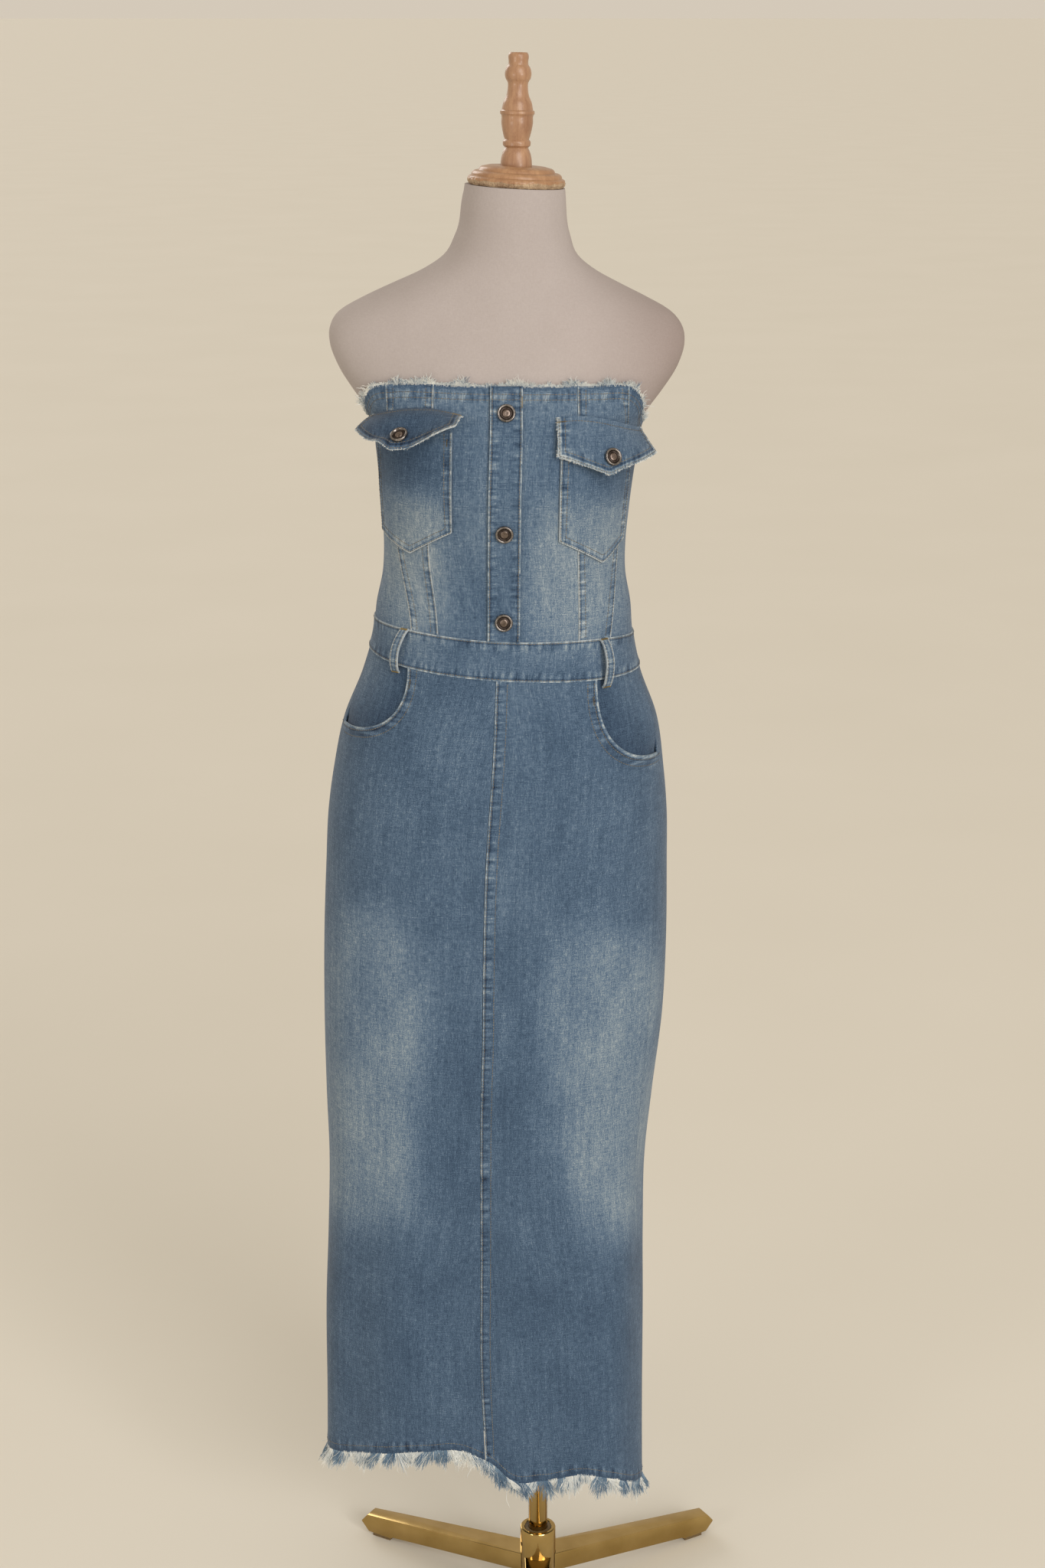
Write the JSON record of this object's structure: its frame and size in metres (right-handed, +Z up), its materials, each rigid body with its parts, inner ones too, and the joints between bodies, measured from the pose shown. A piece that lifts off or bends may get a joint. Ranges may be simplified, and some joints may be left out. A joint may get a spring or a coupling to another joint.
{
  "type": "strapless denim dress on a limbless dress form with a tripod stand",
  "caption": "Long strapless denim dress with a buttoned bodice, flap pockets and a frayed hem, on a limbless padded form with a turned wooden neck cap and a polished gold tripod stand.",
  "frame": {"origin": "middle of the whole object's footprint, on the floor", "axes": "+Z up along the pole; -Y is the dress's front; +X is to the right of a viewer who faces the front"},
  "size_m": [0.4551, 0.3703, 1.7351],
  "materials": {
    "denim": "washed mid-blue cotton twill",
    "denim_dark": "washed cotton twill, darker and less faded",
    "frayed_cotton": "loose undyed and pale blue cotton threads",
    "form_cover": "smooth greige stretch cover",
    "turned_wood": "turned, thinly varnished tan wood",
    "polished_brass": "polished gold plating",
    "dark_nylon": "moulded, near-black",
    "button_bronze": "aged bronze with worn copper edges",
    "screw_steel": "blackened steel"
  },
  "bodies": {
    "root": {"form_torso": "form_cover", "neck_cap": "turned_wood", "finial": "turned_wood", "pole": "polished_brass", "hub": "polished_brass", "leg_front": "polished_brass", "leg_left": "polished_brass", "leg_right": "polished_brass", "pole_bushing": "dark_nylon", "foot_pad_front": "dark_nylon", "foot_pad_left": "dark_nylon", "foot_pad_right": "dark_nylon", "hub_set_screw": "screw_steel", "bodice_side_left": "denim", "bodice_side_left_top_fray": "frayed_cotton", "bodice_princess_left": "denim", "bodice_princess_left_top_fray": "frayed_cotton", "bodice_front_left": "denim", "bodice_front_left_top_fray": "frayed_cotton", "bodice_front_right": "denim", "bodice_front_right_top_fray": "frayed_cotton", "bodice_princess_right": "denim", "bodice_princess_right_top_fray": "frayed_cotton", "bodice_side_right": "denim", "bodice_side_right_top_fray": "frayed_cotton", "bodice_back": "denim", "bodice_back_top_fray": "frayed_cotton", "skirt_front_left": "denim", "skirt_front_left_hem_fringe": "frayed_cotton", "skirt_front_right": "denim", "skirt_front_right_hem_fringe": "frayed_cotton", "skirt_back": "denim", "skirt_back_hem_fringe": "frayed_cotton", "placket": "denim", "waistband_front": "denim", "waistband_back": "denim", "chest_pocket_left": "denim", "chest_pocket_right": "denim", "belt_loop_left": "denim", "belt_loop_right": "denim", "hip_pocket_facing_left": "denim", "hip_pocket_facing_right": "denim", "pocket_flap_left": "denim_dark", "pocket_flap_right": "denim_dark", "placket_button_1": "button_bronze", "placket_button_2": "button_bronze", "placket_button_3": "button_bronze", "flap_button_left": "button_bronze", "flap_button_right": "button_bronze"}
  },
  "joints": []
}
